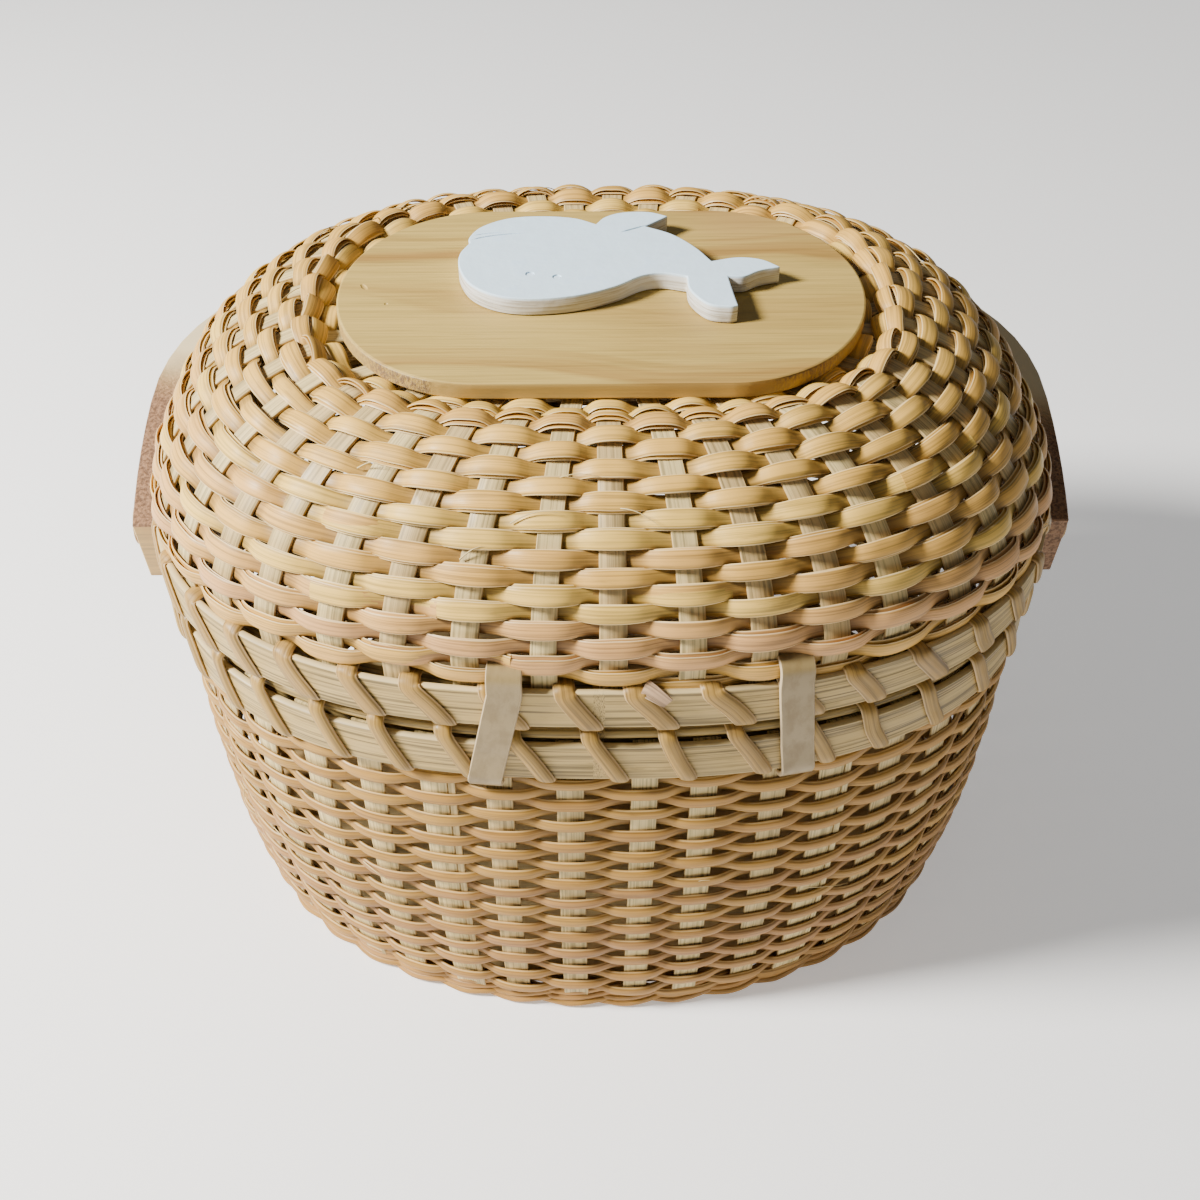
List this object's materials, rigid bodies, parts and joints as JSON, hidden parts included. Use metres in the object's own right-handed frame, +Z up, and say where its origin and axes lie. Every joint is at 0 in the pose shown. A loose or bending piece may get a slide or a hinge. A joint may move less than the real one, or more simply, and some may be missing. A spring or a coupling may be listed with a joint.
{
  "type": "wicker basket",
  "caption": "Oval woven reed basket with a hinged domed lid, wooden top plate and whale plaque, and a swinging wooden bail handle.",
  "frame": {"origin": "centre of the bounding box at table height, the underside of the foot border", "axes": "+Z up; X along the oval's length and the handle's pivot line; the strap hinges are on the -Y side and the folded handle's crown is on the +Y side"},
  "size_m": [0.288, 0.2273, 0.2038],
  "materials": {
    "body_weave": "matte caramel reed",
    "lid_weave": "satin golden reed",
    "lashing": "satin tan reed",
    "bamboo": "pale satin bamboo splint",
    "pine": "bare pale pine",
    "handle_wood": "bare golden wood",
    "white_paint": "matt white paint",
    "strap": "cream satin leather",
    "steel": "plain steel"
  },
  "bodies": {
    "body": {"base_board": "pine", "foot_border": "body_weave", "body_wall": "body_weave", "body_inner_hoop": "bamboo", "body_outer_hoop": "bamboo", "body_rim_core": "lashing", "strap_left_body": "strap", "strap_right_body": "strap", "pivot_peg_left": "handle_wood", "pivot_peg_right": "handle_wood", "pivot_spacer_left": "handle_wood", "pivot_spacer_right": "handle_wood", "pivot_button_left": "handle_wood", "pivot_button_right": "handle_wood"},
    "lid": {"lid_dome": "lid_weave", "lid_inner_hoop": "bamboo", "lid_outer_hoop": "bamboo", "lid_plate": "pine", "lid_backing": "pine", "whale_plaque": "white_paint", "whale_brad_1": "steel", "whale_brad_2": "steel", "plate_screw_1": "steel", "plate_screw_2": "steel", "plate_screw_3": "steel", "plate_screw_4": "steel", "strap_left_lid": "strap", "strap_right_lid": "strap"},
    "handle": {"handle": "handle_wood"}
  },
  "joints": [
    {"name": "lid_hinge", "type": "hinge", "parent": "body", "child": "lid", "pos_m": [0, -0.11407, 0.1299], "axis": [1, 0, 0], "range_deg": [0, 105]},
    {"name": "handle_pivot", "type": "hinge", "parent": "body", "child": "handle", "pos_m": [0, -0.00847, 0.118], "axis": [1, 0, 0], "range_deg": [-30, 128]}
  ]
}
